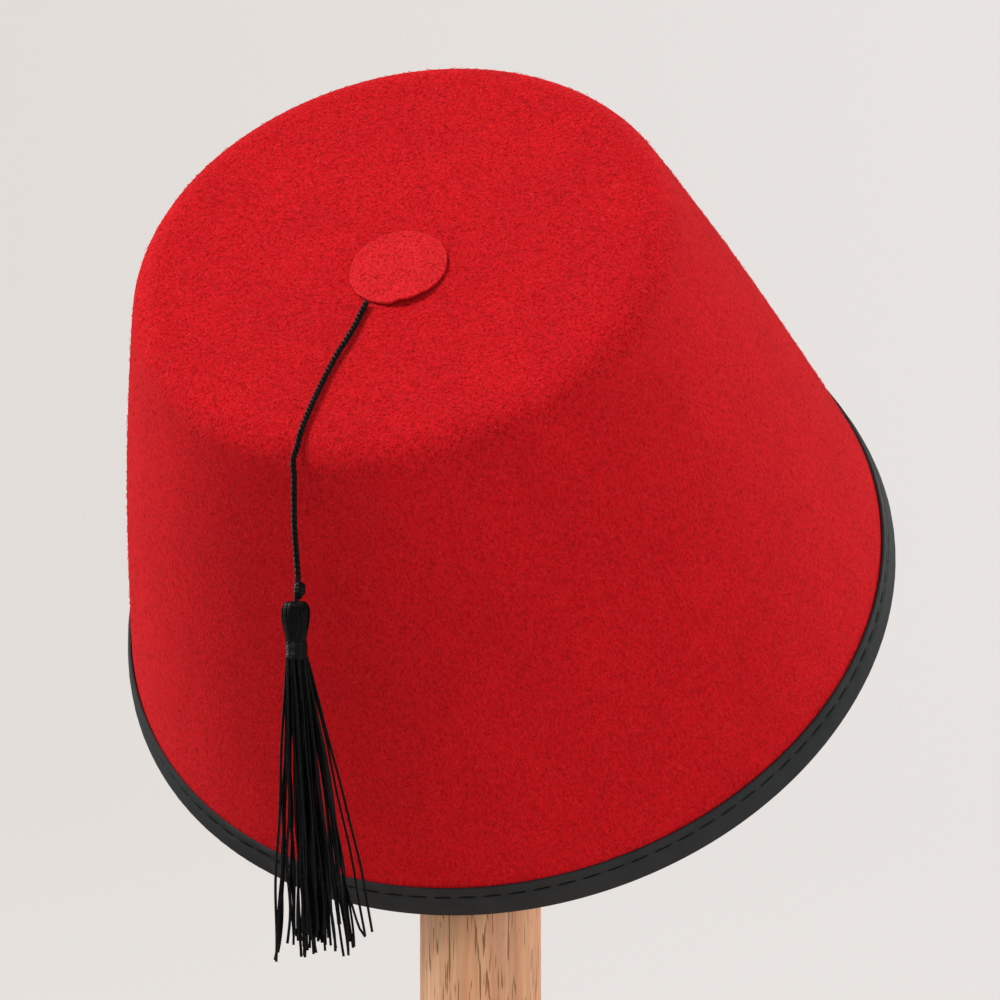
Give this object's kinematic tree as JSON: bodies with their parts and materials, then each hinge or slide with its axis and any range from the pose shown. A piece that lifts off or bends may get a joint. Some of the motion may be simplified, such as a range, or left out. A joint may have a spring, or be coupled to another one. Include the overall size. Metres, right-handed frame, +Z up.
{
  "type": "fez hat on a wooden stand",
  "caption": "Tapered red felt fez with a black bound rim and a black tassel hanging from a felt disc on its flat top, resting tilted on a plain round wooden stand.",
  "frame": {"origin": "middle of the stand base's underside, on the post's axis", "axes": "+Z up along the post; the hat's low front rim is on the -Y side, turned 14.6 degrees towards -X; +X is to the right seen from the front"},
  "size_m": [0.1818, 0.2002, 0.3241],
  "materials": {
    "crown_felt": "matte needled felt, short fibres",
    "disc_felt": "matte brushed felt",
    "binding_tape": "smooth coated tape, soft sheen",
    "tassel_thread": "twisted lustrous thread",
    "stand_wood": "oiled, open grain"
  },
  "bodies": {
    "root": {"felt_crown": "crown_felt", "rim_binding": "binding_tape", "button_disc": "disc_felt", "tassel_cord": "tassel_thread", "tassel_knot": "tassel_thread", "tassel_head": "tassel_thread", "tassel_neck": "tassel_thread", "tassel_skirt": "tassel_thread", "stand_post": "stand_wood", "stand_base": "stand_wood"}
  },
  "joints": []
}
